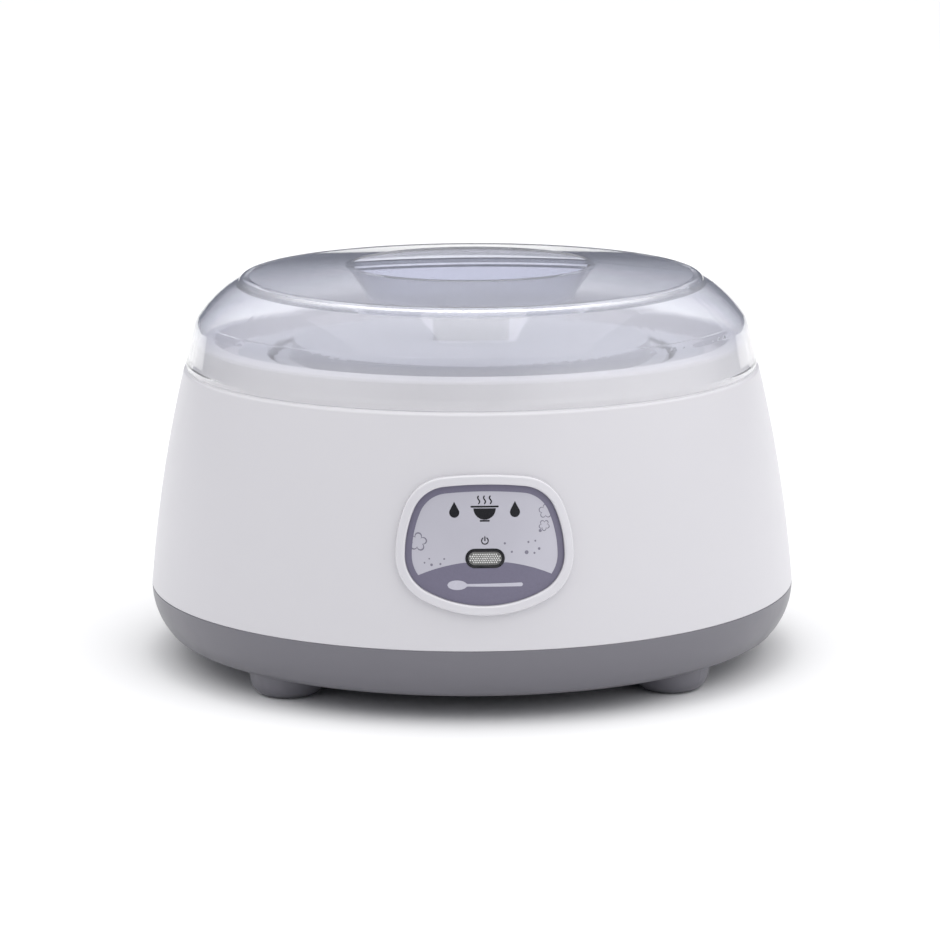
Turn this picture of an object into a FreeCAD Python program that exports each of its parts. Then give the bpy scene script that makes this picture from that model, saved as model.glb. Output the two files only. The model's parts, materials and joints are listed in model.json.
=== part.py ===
"""A single-container electric yogurt maker, as a parametric document of separate pieces.

Millimetres. The origin is on the table, under the middle of the machine. +Z is up and the
badge looks along -Y.
"""

import FreeCAD, Part
import math
import os
import re
import Sketcher
from FreeCAD import Placement, Rotation, Vector

DIMENSIONS = {
    # outer casing: one gently bulging wall, a stepped neck and a flat ring at the top
    "seam_radius": 110.4,
    "seam_height": 24.8,
    "side_bulge": 480,
    "shoulder_radius": 98.1,
    "shoulder_height": 99.2,
    "casing_wall": 2.4,
    "shoulder_round": 1.2,
    "ring_round": 0.9,
    "seam_round": 0.3,
    "neck_foot_radius": 94.9,
    "neck_top_radius": 93.1,
    "neck_height": 108.3,
    "ring_radius": 87.5,
    "ring_height": 109.5,
    "lip_radius": 72,
    "lip_height": 101.9,
    "pillar_radius": 3.8,
    "pillar_foot": 14,
    # lower tray, with a foot under each pillar
    "tray_bottom": 3,
    "tray_wall": 2.4,
    "tray_bulge": 22.94,
    "tray_turn_radius": 104.55,
    "tray_turn_height": 9.5,
    "tray_cone_radius": 102.6,
    "tray_cone_height": 8.25,
    "tray_flat_radius": 82,
    "tongue_radius": 107.2,
    "tongue_inner_radius": 105.4,
    "tongue_top": 28,
    "foot_circle": 89.3,
    "foot_root_radius": 13.4,
    "foot_side_radius": 12.4,
    "foot_side_height": 4.2,
    "foot_contact_radius": 9.2,
    "foot_round": 5.5,
    "foot_lift": 0.4,
    "foot_top": 9,
    "foot_boss_radius": 5,
    "foot_boss_top": 13.8,
    "pad_radius": 8,
    "pad_height": 1.6,
    "pad_gap": 0.2,
    "pad_chamfer": 0.3,
    # screws: one pan-head size for plastic, and a washer-head size for thin lips
    "screw_radius": 1.3,
    "screw_play": 0.05,
    "clear_hole_play": 0.3,
    "boss_play": 0.2,
    "screw_head_radius": 3.2,
    "screw_head_height": 2.2,
    "tray_screw_seat": 7,
    "tray_screw_length": 17,
    "small_screw_radius": 1.2,
    "washer_head_radius": 3.6,
    "washer_head_height": 1.2,
    "well_screw_length": 3.4,
    "plate_screw_length": 2.8,
    "clamp_screw_length": 6.4,
    "pilot_spare": 0.2,
    # inner well that the container stands in
    "well_wall": 2,
    "well_ledge_slope": 0.4,
    "well_mouth_round": 0.8,
    "well_flange_radius": 79.7,
    "well_mouth_radius": 69.5,
    "well_step_height": 95.6,
    "well_seat_radius": 67.3,
    "well_floor_radius": 61.8,
    "well_floor": 20,
    "well_opening_radius": 46.6,
    "well_boss_circle": 76.2,
    "well_boss_radius": 2.6,
    "well_boss_play": 0.3,
    # heater under the container
    "plate_top": 22,
    "plate_wall": 1.5,
    "plate_radius": 46,
    "plate_edge": 1,
    "plate_first_boss": 30,
    "plate_flange_radius": 53,
    "plate_boss_circle": 49.7,
    "heater_length": 36,
    "heater_width": 24,
    "heater_thickness": 3,
    "mica_length": 42,
    "mica_width": 26,
    "mica_thickness": 0.8,
    "clamp_reach": 61.5,
    "clamp_circle": 57,
    "clamp_end_height": 13,
    "clamp_bend_outer": 51,
    "clamp_bend_inner": 38,
    "clamp_thickness": 1,
    "clamp_width": 14,
    "clamp_boss_radius": 3.6,
    "fuse_radius": 2,
    "fuse_play": 0.1,
    "fuse_length": 11,
    "fuse_start": 20,
    "fuse_lead_radius": 0.5,
    "fuse_lead_end": 36,
    "fuse_clip_sheet": 0.5,
    "fuse_clip_reach": 6.5,
    "fuse_clip_width": 5,
    "fuse_clip_setback": 3,
    # terminal block in the back of the tray
    "block_front": 76.8,
    "block_depth": 15,
    "block_length": 38,
    "block_bottom": 9.4,
    "block_height": 11,
    "pole_pitch": 9,
    "block_screw_radius": 2.1,
    "block_screw_play": 0.1,
    "block_well_depth": 4.5,
    "block_entry_depth": 5,
    "terminal_screw_length": 4,
    "block_head_proud": 0.9,
    "block_head_height": 1.4,
    "boss_floor": 0.5,
    "block_wire_hole": 1.7,
    "block_wire_height": 14,
    "block_screw_length": 14,
    # badge on the front: a ring whose outline is five kinds of tangent arc
    "badge_top": 80.5,
    "badge_bottom": 36.5,
    "badge_half_width": 28.3,
    "badge_widest": 55,
    "badge_top_bend": 114,
    "badge_corner_bend": 15,
    "badge_side_bend": 40,
    "badge_lower_bend": 15.44,
    "badge_bottom_bend": 44,
    "badge_top_angle": 6.54,
    "badge_side_angle": 23.218,
    "badge_bottom_angle": 26.76,
    "bezel_width": 3,
    "bezel_proud": 1.9,
    "bezel_edge": 0.7,
    "label_gap": 0.1,
    "label_thickness": 0.4,
    "skin_gap": 0.02,
    "peg_radius": 1,
    "peg_length": 6.6,
    "peg_play": 0.15,
    "peg_side": 26.8,
    "peg_top": 79,
    # power indicator behind the label's window
    "lens_centre": 54.4,
    "lens_half_length": 3.2,
    "lens_radius": 2.05,
    "lens_play": 0.1,
    "lens_proud": 0.5,
    "window_play": 0.2,
    "lens_flange_radius": 4.4,
    "lens_flange_back": 101.4,
    "lens_flange_thickness": 1.6,
    "lamp_radius": 2.9,
    "lamp_length": 10,
    "lamp_distance": 97.2,
    "lamp_play": 0.15,
    "holder_length": 18,
    "holder_height": 11,
    "holder_back": 93.5,
    "holder_gap": 0.1,
    # wires
    "wire_radius": 0.8,
    "wire_bend": 5,
    "wire_floor": 9.4,
    "wire_end_gap": 0.7,
    "wire_in_block": 4,
    "wire_out_of_block": 5,
    "wire_slope": 11,
    "heater_wire_rise": 12,
    "lamp_wire_rise": 12,
    "lamp_wire_lean": 14,
    "lamp_wire_distance": 90,
    "sleeve_radius": 2,
    "sleeve_bottom": 26,
    "sleeve_height": 12,
    # rubber bush where a mains cord goes in
    "bush_height": 16.5,
    "bush_bore": 3.1,
    "bush_neck_radius": 4.5,
    "bush_barb_radius": 5.1,
    "bush_flange_radius": 5.8,
    "bush_seat": 106.6,
    "bush_outer": 109,
    "bush_barb": 103.6,
    "bush_inner": 101.5,
    "bush_chamfer": 0.8,
    "bush_play": 0.3,
    "bush_neck_play": 0.1,
    # blank rating plate under the tray
    "rating_length": 60,
    "rating_width": 36,
    "rating_thickness": 0.3,
    "rating_recess": 0.35,
    "rating_play": 0.3,
    # transparent lid
    "lid_wall": 1.5,
    "lid_bottom": 99.5,
    "lid_skirt_radius": 97.4,
    "lid_lip_top": 101.2,
    "lid_skirt_turn_radius": 96.85,
    "lid_skirt_turn_height": 102.8,
    "lid_skirt_top_radius": 94.25,
    "lid_skirt_top_height": 113.6,
    "lid_skirt_lean": 13.8,
    "lid_corner_bend": 8,
    "lid_shoulder_radius": 92.95,
    "lid_shoulder_height": 116.4,
    "lid_corner_lean": 36,
    "lid_shoulder_bend": 42,
    "lid_step_radius": 80.4,
    "lid_step_height": 127.8,
    "lid_step_lean": 59.3,
    "lid_bead_radius": 79.2,
    "lid_bead_height": 128.6,
    "lid_bead_bend": 3.2,
    "lid_plate_radius": 75.6,
    "lid_plate_height": 130,
    "lid_rim_radius": 41.2,
    "lid_rim_height": 133.6,
    "lid_cup_radius": 34.5,
    "lid_cup_turn": 122.6,
    "lid_cup_floor": 120.5,
    "lid_cup_bend": 2.5,
    "lid_cup_flat": 32.1,
    "grip_half_width": 6,
    "grip_half_length": 42.5,
    "grip_end_height": 133.35,
    "grip_bend": 723,
    "grip_end_spare": 0.25,
    # container and its own lid
    "container_bottom": 22.4,
    "container_wall": 1.6,
    "container_floor_radius": 56.5,
    "container_turn_radius": 59.2,
    "container_turn_height": 25.4,
    "container_top_radius": 64.2,
    "container_rim_radius": 65.6,
    "container_rim_foot": 95,
    "container_rim_top": 101.1,
    "container_rim_slope": 1,
    "container_rim_round": 0.5,
    "cover_wall": 1.3,
    "cover_skirt_radius": 67.5,
    "cover_skirt_bottom": 97.6,
    "cover_flange_height": 102.8,
    "cover_disc_foot": 62.3,
    "cover_disc_radius": 60.4,
    "cover_disc_height": 108,
    "cover_round": 1,
    "handle_length": 26,
    "handle_width": 9,
    "handle_top": 118.2,
}

QUARTER_TURN = 90
THIRD_TURN = 120
BEYOND = 1  # how far a cut runs past the face that it opens
FRONT_SHARE = 0.8  # an edge of the bezel this far out of its height belongs to its front
CLAMP_ENDS = [("-clamp_circle", 0), ("clamp_circle", 0)]
FEET = {"front_left": 225, "front_right": 315, "rear_right": 45, "rear_left": 135}
POLES = (-1.5, -0.5, 0.5, 1.5)

doc = FreeCAD.newDocument("yogurt_maker")


def make_sheet():
    """The driving dimensions, one named cell to a row."""
    sheet = doc.addObject("Spreadsheet::Sheet", "dims")
    for row, (alias, number) in enumerate(DIMENSIONS.items(), start=1):
        sheet.set(f"A{row}", alias.replace("_", " "))
        sheet.set(f"B{row}", str(number))
        sheet.setAlias(f"B{row}", alias)
    doc.recompute()
    return sheet


dims = make_sheet()
probe = doc.addObject("App::FeaturePython", "probe")
probe.addProperty("App::PropertyFloat", "number")


def sized(text):
    """An expression whose plain names are cells of the sheet."""
    def cell(found):
        return "dims." + found[0] if found[0] in DIMENSIONS else found[0]

    return re.sub(r"[a-z]\w+", cell, str(text))


def value(text):
    """What an expression comes to now, read from a property that is bound to it."""
    probe.setExpression("number", sized(text))
    probe.recompute()
    return probe.number


# ---------------------------------------------------------------- sketches


def new_body(label):
    body = doc.addObject("PartDesign::Body", label)
    body.Label = label
    return body


def sketch_on(body, name, plane="XZ_Plane", offset=None, turn=0):
    """A sketch on one of the body's own planes, moved along its normal, or turned about +Z."""
    sketch = body.newObject("Sketcher::SketchObject", f"{body.Label}_{name}")
    support = [feature for feature in body.Origin.OriginFeatures if feature.Role == plane]
    sketch.AttachmentSupport = (support[0], [""])
    sketch.MapMode = "FlatFace"
    if turn:
        sketch.AttachmentOffset = Placement(Vector(0, 0, 0), Rotation(Vector(0, 1, 0), turn))
    if offset is not None:
        sketch.setExpression("AttachmentOffset.Base.z", sized(offset))
    return sketch


def pin(sketch, item, point, x, y):
    """Ties a point of the sketch to its two places."""
    for kind, place, axis in (("DistanceX", x, -2), ("DistanceY", y, -1)):
        if abs(value(place)) < 1e-9:
            sketch.addConstraint(Sketcher.Constraint("PointOnObject", item, point, axis))
        else:
            tie = sketch.addConstraint(Sketcher.Constraint(kind, -1, 1, item, point, value(place)))
            sketch.setExpression(f"Constraints[{tie}]", sized(place))


def arc_between(start, end, bend):
    """The short arc of radius bend, bulging to the right of the way, or left if it is negative."""
    chord = end - start
    side = Vector(chord.y, -chord.x, 0).normalize()
    rise = math.sqrt(max(bend * bend - chord.Length ** 2 / 4, 0))
    centre = (start + end) * 0.5 - side * math.copysign(rise, bend)
    first, last = (start, end) if bend > 0 else (end, start)
    opening = math.atan2(first.y - centre.y, first.x - centre.x)
    closing = math.atan2(last.y - centre.y, last.x - centre.x)
    if closing < opening:
        closing += 2 * math.pi
    return Part.ArcOfCircle(Part.Circle(centre, Vector(0, 0, 1), abs(bend)), opening, closing)


def outline(sketch, corners):
    """A closed outline, anticlockwise. A corner is (x, y), or (x, y, bend) where an arc of
    that radius goes on to the next corner. A positive bend bulges out of the outline."""
    points = [Vector(value(corner[0]), value(corner[1]), 0) for corner in corners]
    ends = []
    for index, corner in enumerate(corners):
        start, end = points[index], points[(index + 1) % len(points)]
        bend = corner[2] if len(corner) > 2 else None
        if bend is None:
            item = sketch.addGeometry(Part.LineSegment(start, end), False)
            ends.append((item, 1, 2))
            continue
        item = sketch.addGeometry(arc_between(start, end, value(bend)), False)
        ends.append((item, 1, 2) if value(bend) > 0 else (item, 2, 1))
    for index, (item, _, last) in enumerate(ends):
        following, first, _ = ends[(index + 1) % len(ends)]
        sketch.addConstraint(Sketcher.Constraint("Coincident", item, last, following, first))
    for (item, first, _), corner in zip(ends, corners):
        pin(sketch, item, first, corner[0], corner[1])
        if len(corner) > 2:
            tie = sketch.addConstraint(Sketcher.Constraint("Radius", item, abs(value(corner[2]))))
            sketch.setExpression(f"Constraints[{tie}]", f"abs({sized(corner[2])})")
    return sketch


def circles(sketch, places, radius):
    for x, y in places:
        middle = Vector(value(x), value(y), 0)
        item = sketch.addGeometry(Part.Circle(middle, Vector(0, 0, 1), value(radius)), False)
        pin(sketch, item, 3, x, y)
        tie = sketch.addConstraint(Sketcher.Constraint("Radius", item, value(radius)))
        sketch.setExpression(f"Constraints[{tie}]", sized(radius))
    return sketch


def rectangle(sketch, left, bottom, right, top):
    return outline(sketch, [(left, bottom), (right, bottom), (right, top), (left, top)])


def stadium(sketch, height, half_length, radius):
    """A level slot with round ends, centred on the sketch's upright axis."""
    long, reach, up = value(half_length), value(radius), value(height)
    ends = ((f"{half_length}", long, -math.pi / 2), (f"-({half_length})", -long, math.pi / 2))
    arcs = []
    for place, middle, begin in ends:
        circle = Part.Circle(Vector(middle, up, 0), Vector(0, 0, 1), reach)
        item = sketch.addGeometry(Part.ArcOfCircle(circle, begin, begin + math.pi), False)
        pin(sketch, item, 3, place, height)
        arcs.append(item)
    sides = []
    for right, level in ((long, up + reach), (-long, up - reach)):
        line = Part.LineSegment(Vector(right, level, 0), Vector(-right, level, 0))
        sides.append(sketch.addGeometry(line, False))
    loop = (arcs[0], sides[0], arcs[1], sides[1])
    for item, following in zip(loop, loop[1:] + loop[:1]):
        sketch.addConstraint(Sketcher.Constraint("Tangent", item, 2, following, 1))
    tie = sketch.addConstraint(Sketcher.Constraint("Radius", arcs[0], reach))
    sketch.setExpression(f"Constraints[{tie}]", sized(radius))
    return sketch


# ---------------------------------------------------------------- solid features


def turned(sketch, cut=False, axis="V_Axis"):
    """The sketch turned right round its upright axis, added to its body or cut from it."""
    body = sketch.getParentGeoFeatureGroup()
    kind = "PartDesign::Groove" if cut else "PartDesign::Revolution"
    feature = body.newObject(kind, f"{sketch.Name}_turned")
    feature.Profile = sketch
    feature.ReferenceAxis = (sketch, [axis])
    feature.Angle = 360
    return feature


def raised(sketch, length, cut=False, both_sides=False, reverse=False):
    """The sketch padded along its normal, or cut as a pocket against it."""
    body = sketch.getParentGeoFeatureGroup()
    kind = "PartDesign::Pocket" if cut else "PartDesign::Pad"
    feature = body.newObject(kind, f"{sketch.Name}_depth")
    feature.Profile = sketch
    feature.setExpression("Length", sized(length))
    feature.SideType = "Symmetric" if both_sides else "One side"
    feature.Reversed = reverse
    return feature


def rounded(body, radius, places):
    """Rounds the circular edges about +Z that pass through these (radius, height) places."""
    doc.recompute()
    base = body.Tip
    wanted = [(value(across), value(up)) for across, up in places]
    names = []
    for number, edge in enumerate(base.Shape.Edges, start=1):
        point = edge.Vertexes[0].Point
        middle = edge.valueAt((edge.FirstParameter + edge.LastParameter) / 2)
        level = abs(point.z - middle.z) < 1e-6
        across = math.hypot(middle.x, middle.y)
        if level and any(math.hypot(across - r, middle.z - z) < 0.02 for r, z in wanted):
            names.append(f"Edge{number}")
    if not names:
        raise ValueError(f"{body.Label} has no edge at {wanted}")
    feature = body.newObject("PartDesign::Fillet", f"{body.Label}_round_{len(body.Group)}")
    feature.Base = (base, names)
    feature.setExpression("Radius", sized(radius))
    return feature


# ---------------------------------------------------------------- plain pieces


def place(piece, x, y, z):
    for letter, text in zip("xyz", (x, y, z)):
        piece.setExpression(f".Placement.Base.{letter}", sized(text))
    return piece


def cylinder(name, radius, height, x, y, z, axis=Vector(0, 0, 1)):
    piece = doc.addObject("Part::Cylinder", name)
    piece.setExpression("Radius", sized(radius))
    piece.setExpression("Height", sized(height))
    piece.Placement = Placement(Vector(0, 0, 0), Rotation(Vector(0, 0, 1), axis))
    return place(piece, x, y, z)


def box(name, length, width, height, x, y, z):
    piece = doc.addObject("Part::Box", name)
    for side, text in (("Length", length), ("Width", width), ("Height", height)):
        piece.setExpression(side, sized(text))
    return place(piece, x, y, z)


def joined(kind, label, base, tool):
    piece = doc.addObject(f"Part::{kind}", label)
    piece.Base = base
    piece.Tool = tool
    piece.Label = label
    return piece


def group(label, pieces):
    """Separate solids that share one node."""
    whole = doc.addObject("Part::Compound", label)
    whole.Links = pieces
    whole.Label = label
    return whole


def screw(name, x, y, seat, head, shank, upward=True):
    """A screw seated under its head. head and shank are (radius, length)."""
    head_foot = f"{seat} - {head[1]}" if upward else seat
    shank_foot = seat if upward else f"{seat} - {shank[1]}"
    top = cylinder(f"{name}_head", head[0], head[1], x, y, head_foot)
    stem = cylinder(f"{name}_shank", shank[0], shank[1], x, y, shank_foot)
    return joined("Fuse", name, top, stem)


def around(circle, angle):
    """The X and Y of a place on a circle about +Z."""
    return f"{circle} * cos({angle})", f"{circle} * sin({angle})"


def plate_boss(turn):
    """One of the three bosses that the heater plate hangs from."""
    return around("plate_boss_circle", f"(plate_first_boss + {THIRD_TURN} * {turn})")


# ---------------------------------------------------------------- casing and tray


def side_band(body, name, gap, beyond):
    """The room inside the casing's outer face moved out by gap, or everything beyond it."""
    top, bottom = f"shoulder_radius + {gap}", f"seam_radius + {gap}"
    if beyond:
        corners = [
            (bottom, "seam_height"),
            (f"{bottom} + foot_root_radius", "seam_height"),
            (f"{bottom} + foot_root_radius", "shoulder_height"),
            (top, "shoulder_height", "-side_bulge"),
        ]
    else:
        corners = [
            (0, "seam_height"),
            (bottom, "seam_height", "side_bulge"),
            (top, "shoulder_height"),
            (0, "shoulder_height"),
        ]
    return turned(outline(sketch_on(body, name), corners), cut=True)


PEGS = [(0, "peg_top"), ("-peg_side", "badge_widest"), ("peg_side", "badge_widest")]


def outer_casing():
    body = new_body("outer_casing")
    section = [
        ("seam_radius", "seam_height", "side_bulge"),
        ("shoulder_radius", "shoulder_height"),
        ("neck_foot_radius", "shoulder_height"),
        ("neck_top_radius", "neck_height"),
        ("ring_radius", "ring_height"),
        ("ring_radius", "lip_height"),
        ("lip_radius", "lip_height"),
        ("lip_radius", "lip_height - casing_wall"),
        ("neck_foot_radius - casing_wall", "lip_height - casing_wall"),
        ("neck_foot_radius - casing_wall", "shoulder_height - casing_wall"),
        ("shoulder_radius - casing_wall", "shoulder_height - casing_wall", "-side_bulge"),
        ("seam_radius - casing_wall", "seam_height"),
    ]
    turned(outline(sketch_on(body, "section"), section))
    shoulders = [("shoulder_radius", "shoulder_height"), ("neck_top_radius", "neck_height")]
    rounded(body, "shoulder_round", shoulders)
    rounded(body, "ring_round", [("ring_radius", "ring_height")])
    rounded(body, "seam_round", [("seam_radius", "seam_height")])

    feet = [around("foot_circle", angle) for angle in FEET.values()]
    pillars = sketch_on(body, "pillars", "XY_Plane", offset="pillar_foot")
    circles(pillars, feet, "pillar_radius")
    raised(pillars, "lip_height - casing_wall / 2 - pillar_foot")
    pilots = sketch_on(body, "pilots", "XY_Plane", offset="pillar_foot")
    circles(pilots, feet, "screw_radius + screw_play")
    raised(pilots, "tray_screw_length", cut=True, reverse=True)

    lip_holes = sketch_on(body, "lip_holes", "XY_Plane", offset=f"lip_height + {BEYOND}")
    quarters = [around("well_boss_circle", QUARTER_TURN * turn) for turn in range(4)]
    circles(lip_holes, quarters, "well_boss_radius + well_boss_play")
    raised(lip_holes, f"casing_wall + 2 * {BEYOND}", cut=True)

    window = sketch_on(body, "window", offset="lamp_distance")
    stadium(window, "lens_centre", "lens_half_length", "lens_radius + window_play")
    raised(window, "seam_radius - lamp_distance", cut=True, reverse=True)
    peg_holes = sketch_on(body, "peg_holes", offset="lamp_distance")
    circles(peg_holes, PEGS, "peg_radius + peg_play")
    raised(peg_holes, "seam_radius - lamp_distance", cut=True, reverse=True)
    return body


def foot_axis(sketch):
    """The upright line through the middle of a foot."""
    across, top = value("foot_circle"), value("foot_top")
    item = sketch.addGeometry(Part.LineSegment(Vector(across, 0, 0), Vector(across, top, 0)), True)
    pin(sketch, item, 1, "foot_circle", 0)
    pin(sketch, item, 2, "foot_circle", "foot_top")
    return sketch


def base_tray():
    body = new_body("base_tray")
    section = [
        (0, "tray_bottom"),
        ("tray_flat_radius", "tray_bottom"),
        ("tray_cone_radius", "tray_cone_height"),
        ("tray_turn_radius", "tray_turn_height", "tray_bulge"),
        ("seam_radius", "seam_height"),
        ("tongue_radius", "seam_height"),
        ("tongue_radius", "tongue_top"),
        ("tongue_inner_radius", "tongue_top"),
        ("tongue_inner_radius", "seam_height - tray_wall * 2.8"),
        ("tray_turn_radius - tray_wall * 1.6", "tray_turn_height + tray_wall * 0.5"),
        ("tray_flat_radius", "tray_bottom + tray_wall * 1.1"),
        (0, "tray_bottom + tray_wall"),
    ]
    whole = sketch_on(body, "section")
    turned(outline(whole, section))
    rounded(body, "seam_round", [("seam_radius", "seam_height")])

    foot = foot_axis(sketch_on(body, "foot", turn=45))
    middle = "foot_circle"
    outline(foot, [
        (middle, "foot_lift"),
        (f"{middle} + foot_contact_radius", "foot_lift", "foot_round"),
        (f"{middle} + foot_side_radius", "foot_side_height"),
        (f"{middle} + foot_root_radius", "foot_top"),
        (f"{middle} + foot_boss_radius", "foot_top"),
        (f"{middle} + foot_boss_radius", "foot_boss_top"),
        (middle, "foot_boss_top"),
    ])
    solid = turned(foot, axis="Axis0")
    hollow = foot_axis(sketch_on(body, "foot_hollow", turn=45))
    outline(hollow, [
        (middle, 0),
        (f"{middle} + pad_radius + pad_gap", 0),
        (f"{middle} + pad_radius + pad_gap", "pad_height"),
        (f"{middle} + screw_head_radius + pad_gap", "pad_height"),
        (f"{middle} + screw_head_radius + pad_gap", "tray_screw_seat"),
        (f"{middle} + screw_radius + clear_hole_play", "tray_screw_seat"),
        (f"{middle} + screw_radius + clear_hole_play", f"foot_boss_top + {BEYOND}"),
        (middle, f"foot_boss_top + {BEYOND}"),
    ])
    recess = turned(hollow, cut=True, axis="Axis0")
    feet = body.newObject("PartDesign::PolarPattern", "base_tray_feet")
    feet.Originals = [solid, recess]
    feet.Axis = (whole, ["V_Axis"])
    feet.Angle = 360
    feet.Occurrences = len(FEET)
    body.Tip = feet

    across, deep = ("-pole_pitch", "pole_pitch"), "block_front + block_depth / 2"
    bosses = sketch_on(body, "block_bosses", "XY_Plane", offset="tray_bottom + tray_wall")
    circles(bosses, [(x, deep) for x in across], "screw_head_radius + boss_play")
    raised(bosses, "block_bottom - tray_bottom - tray_wall")
    pilots = sketch_on(body, "block_pilots", "XY_Plane", offset="block_bottom")
    circles(pilots, [(x, deep) for x in across], "small_screw_radius + screw_play")
    raised(pilots, "block_bottom - tray_bottom - tray_wall - boss_floor", cut=True)

    seat = sketch_on(body, "bush_seat", offset="-bush_seat")
    circles(seat, [(0, "bush_height")], "bush_flange_radius + bush_play")
    raised(seat, "seam_radius - bush_seat + casing_wall", cut=True)
    hole = sketch_on(body, "bush_hole", offset="-bush_inner")
    circles(hole, [(0, "bush_height")], "bush_neck_radius + bush_neck_play")
    raised(hole, "seam_radius - bush_inner + casing_wall", cut=True)
    rating = sketch_on(body, "rating_recess", "XY_Plane", offset="tray_bottom")
    half_length, half_width = "rating_length / 2 + rating_play", "rating_width / 2 + rating_play"
    rectangle(rating, f"-({half_length})", f"-({half_width})", half_length, half_width)
    raised(rating, "rating_recess", cut=True, reverse=True)
    return body


def foot_pads():
    pads = []
    for corner, angle in FEET.items():
        name = f"foot_pad_{corner}"
        pad = cylinder(f"{name}_disc", "pad_radius", "pad_height", *around("foot_circle", angle), 0)
        soft = doc.addObject("Part::Chamfer", name)
        soft.Base = pad
        soft.Edges = [(rim, value("pad_chamfer"), value("pad_chamfer")) for rim in (1, 3)]
        soft.Label = name
        pads.append(soft)
    return pads


def rating_plate():
    body = new_body("rating_plate")
    foot = "tray_bottom + rating_recess - rating_thickness"
    sheet = sketch_on(body, "outline", "XY_Plane", offset=foot)
    half_length, half_width = "rating_length / 2", "rating_width / 2"
    rectangle(sheet, f"-({half_length})", f"-({half_width})", half_length, half_width)
    raised(sheet, "rating_thickness")
    return body


def cord_bush():
    body = new_body("cord_bush")
    ring = sketch_on(body, "section", "YZ_Plane")
    start, end = (Vector(value(along), value("bush_height"), 0) for along in ("bush_inner", "bush_outer"))
    item = ring.addGeometry(Part.LineSegment(start, end), True)
    pin(ring, item, 1, "bush_inner", "bush_height")
    pin(ring, item, 2, "bush_outer", "bush_height")
    steps = [
        ("bush_inner", "bush_bore"),
        ("bush_outer", "bush_bore"),
        ("bush_outer", "bush_flange_radius - bush_chamfer"),
        ("bush_outer - bush_chamfer", "bush_flange_radius"),
        ("bush_seat", "bush_flange_radius"),
        ("bush_seat", "bush_neck_radius"),
        ("bush_barb", "bush_neck_radius"),
        ("bush_barb", "bush_barb_radius"),
        ("bush_inner", "bush_neck_radius"),
    ]
    outline(ring, [(along, f"bush_height + {out}") for along, out in steps])
    turned(ring, axis="Axis0")
    return body


# ---------------------------------------------------------------- well and heater


def inner_well():
    body = new_body("inner_well")
    section = [
        ("well_opening_radius", "well_floor - well_wall"),
        ("well_floor_radius + well_wall / 2", "well_floor - well_wall"),
        ("well_floor_radius + well_wall", "well_floor"),
        ("well_seat_radius + well_wall", "well_step_height - well_wall"),
        ("well_mouth_radius + well_wall", "well_step_height - well_wall * 0.6"),
        ("well_mouth_radius + well_wall", "lip_height"),
        ("well_flange_radius", "lip_height"),
        ("well_flange_radius", "lip_height + well_wall"),
        ("well_mouth_radius", "lip_height + well_wall"),
        ("well_mouth_radius", "well_step_height + well_ledge_slope"),
        ("well_seat_radius", "well_step_height - well_ledge_slope"),
        ("well_floor_radius", "well_floor + well_wall"),
        ("well_floor_radius - well_wall / 2", "well_floor"),
        ("well_opening_radius", "well_floor"),
    ]
    turned(outline(sketch_on(body, "section"), section))
    rounded(body, "well_mouth_round", [("well_mouth_radius", "lip_height + well_wall")])

    flange_foot = "lip_height - casing_wall + skin_gap"
    flange_bosses = sketch_on(body, "flange_bosses", "XY_Plane", offset=flange_foot)
    quarters = [around("well_boss_circle", QUARTER_TURN * turn) for turn in range(4)]
    circles(flange_bosses, quarters, "well_boss_radius")
    raised(flange_bosses, "casing_wall + well_wall / 2")
    floor_foot = "well_floor - well_wall - plate_wall + skin_gap"
    floor_bosses = sketch_on(body, "floor_bosses", "XY_Plane", offset=floor_foot)
    thirds = [plate_boss(turn) for turn in range(3)]
    circles(floor_bosses, thirds, "well_boss_radius")
    raised(floor_bosses, "well_wall / 2 + plate_wall")
    clamp_bosses = sketch_on(body, "clamp_bosses", "XY_Plane", offset="clamp_end_height")
    circles(clamp_bosses, CLAMP_ENDS, "clamp_boss_radius")
    raised(clamp_bosses, "well_floor - well_wall / 2 - clamp_end_height")

    for name, foot, places, depth in (
        ("flange_pilots", "lip_height - casing_wall", quarters, "well_screw_length + pilot_spare"),
        ("floor_pilots", "well_floor - well_wall - plate_wall", thirds, "plate_screw_length + pilot_spare"),
        ("clamp_pilots", "clamp_end_height", CLAMP_ENDS, "clamp_screw_length"),
    ):
        pilots = sketch_on(body, name, "XY_Plane", offset=foot)
        circles(pilots, places, "small_screw_radius + screw_play")
        raised(pilots, depth, cut=True, reverse=True)
    return body


def heater_plate():
    body = new_body("heater_plate")
    flange_top = "well_floor - well_wall"
    section = [
        (0, "plate_top - plate_wall"),
        ("plate_radius - plate_wall", "plate_top - plate_wall"),
        ("plate_radius - plate_wall", f"{flange_top} - plate_wall"),
        ("plate_flange_radius", f"{flange_top} - plate_wall"),
        ("plate_flange_radius", flange_top),
        ("plate_radius", flange_top),
        ("plate_radius", "plate_top - plate_edge"),
        ("plate_radius - plate_edge", "plate_top"),
        (0, "plate_top"),
    ]
    turned(outline(sketch_on(body, "section"), section))
    holes = sketch_on(body, "holes", "XY_Plane", offset=f"well_floor - well_wall + {BEYOND}")
    circles(holes, [plate_boss(turn) for turn in range(3)], "well_boss_radius + boss_play")
    raised(holes, f"plate_wall + 2 * {BEYOND}", cut=True)
    return body


def heater_slabs():
    """The heating slab under the plate, and the mica sheet that keeps its heat off the clamp."""
    under_plate = "plate_top - plate_wall"
    slab_foot = f"{under_plate} - heater_thickness"
    slab = box("ptc_heater", "heater_length", "heater_width", "heater_thickness",
               "-heater_length / 2", "-heater_width / 2", slab_foot)
    mica = box("mica_sheet", "mica_length", "mica_width", "mica_thickness",
               "-mica_length / 2", "-mica_width / 2", f"{slab_foot} - mica_thickness")
    return [slab, mica]


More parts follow.
